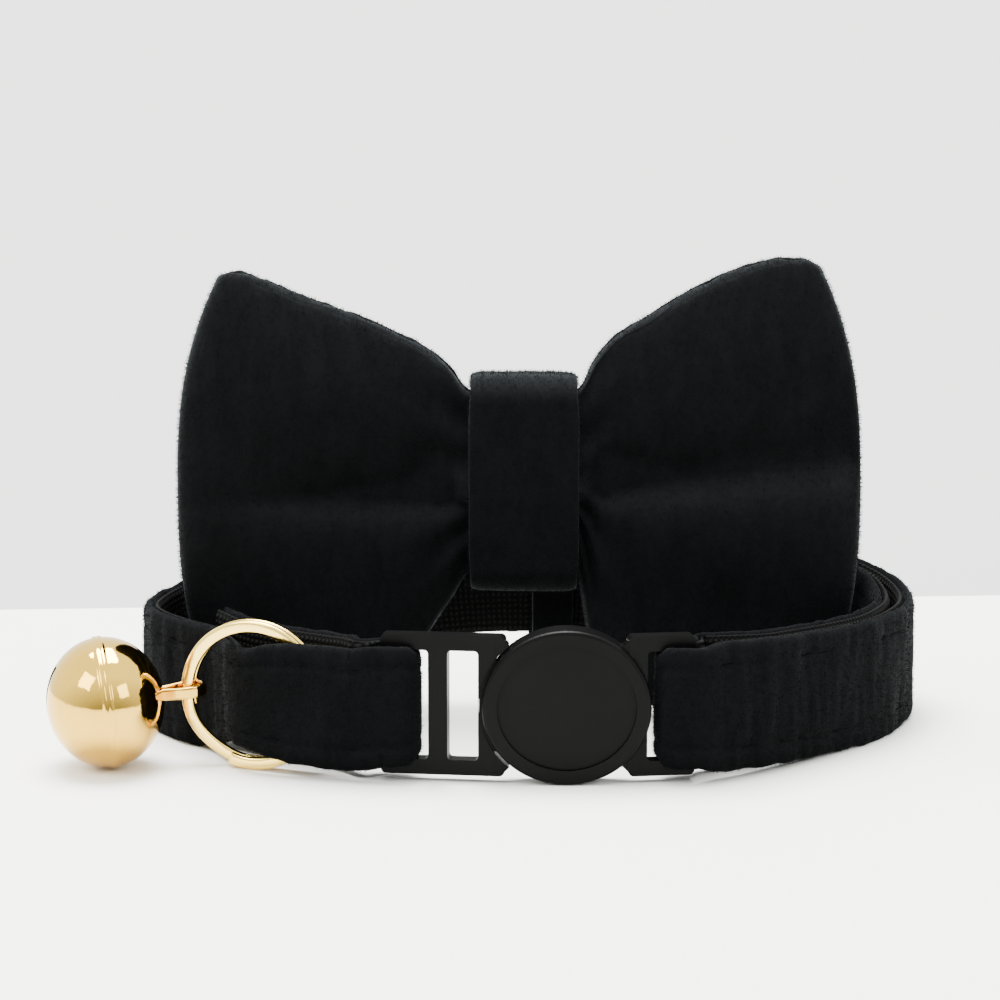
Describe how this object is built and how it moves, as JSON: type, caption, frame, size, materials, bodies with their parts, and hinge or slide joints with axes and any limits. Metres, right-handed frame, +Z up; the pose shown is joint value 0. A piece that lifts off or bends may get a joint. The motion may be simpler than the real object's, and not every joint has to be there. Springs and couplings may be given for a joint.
{
  "type": "pet bow tie collar",
  "caption": "Velvet pet collar with a quick-release disc buckle, a split ring with a round bell, and a standing two-lobed bow tie.",
  "frame": {"origin": "centre of the whole part's box on the surface it stands on", "axes": "+Z up, -Y towards the buckle and the viewer of the picture, +X to that viewer's right along the width of the loop"},
  "size_m": [0.0826, 0.0432, 0.0451],
  "materials": {
    "velvet": "short velvet pile",
    "plastic": "satin moulded",
    "gold": "polished light gold",
    "steel": "plain"
  },
  "bodies": {
    "root": {"strap": "velvet", "slider": "plastic", "buckle_tongue": "plastic", "buckle_socket": "plastic", "split_ring": "gold", "bell_shell": "gold", "bell_pellet": "steel", "bow_band": "velvet", "bow_knot": "velvet", "bow_keeper": "velvet"}
  },
  "joints": []
}
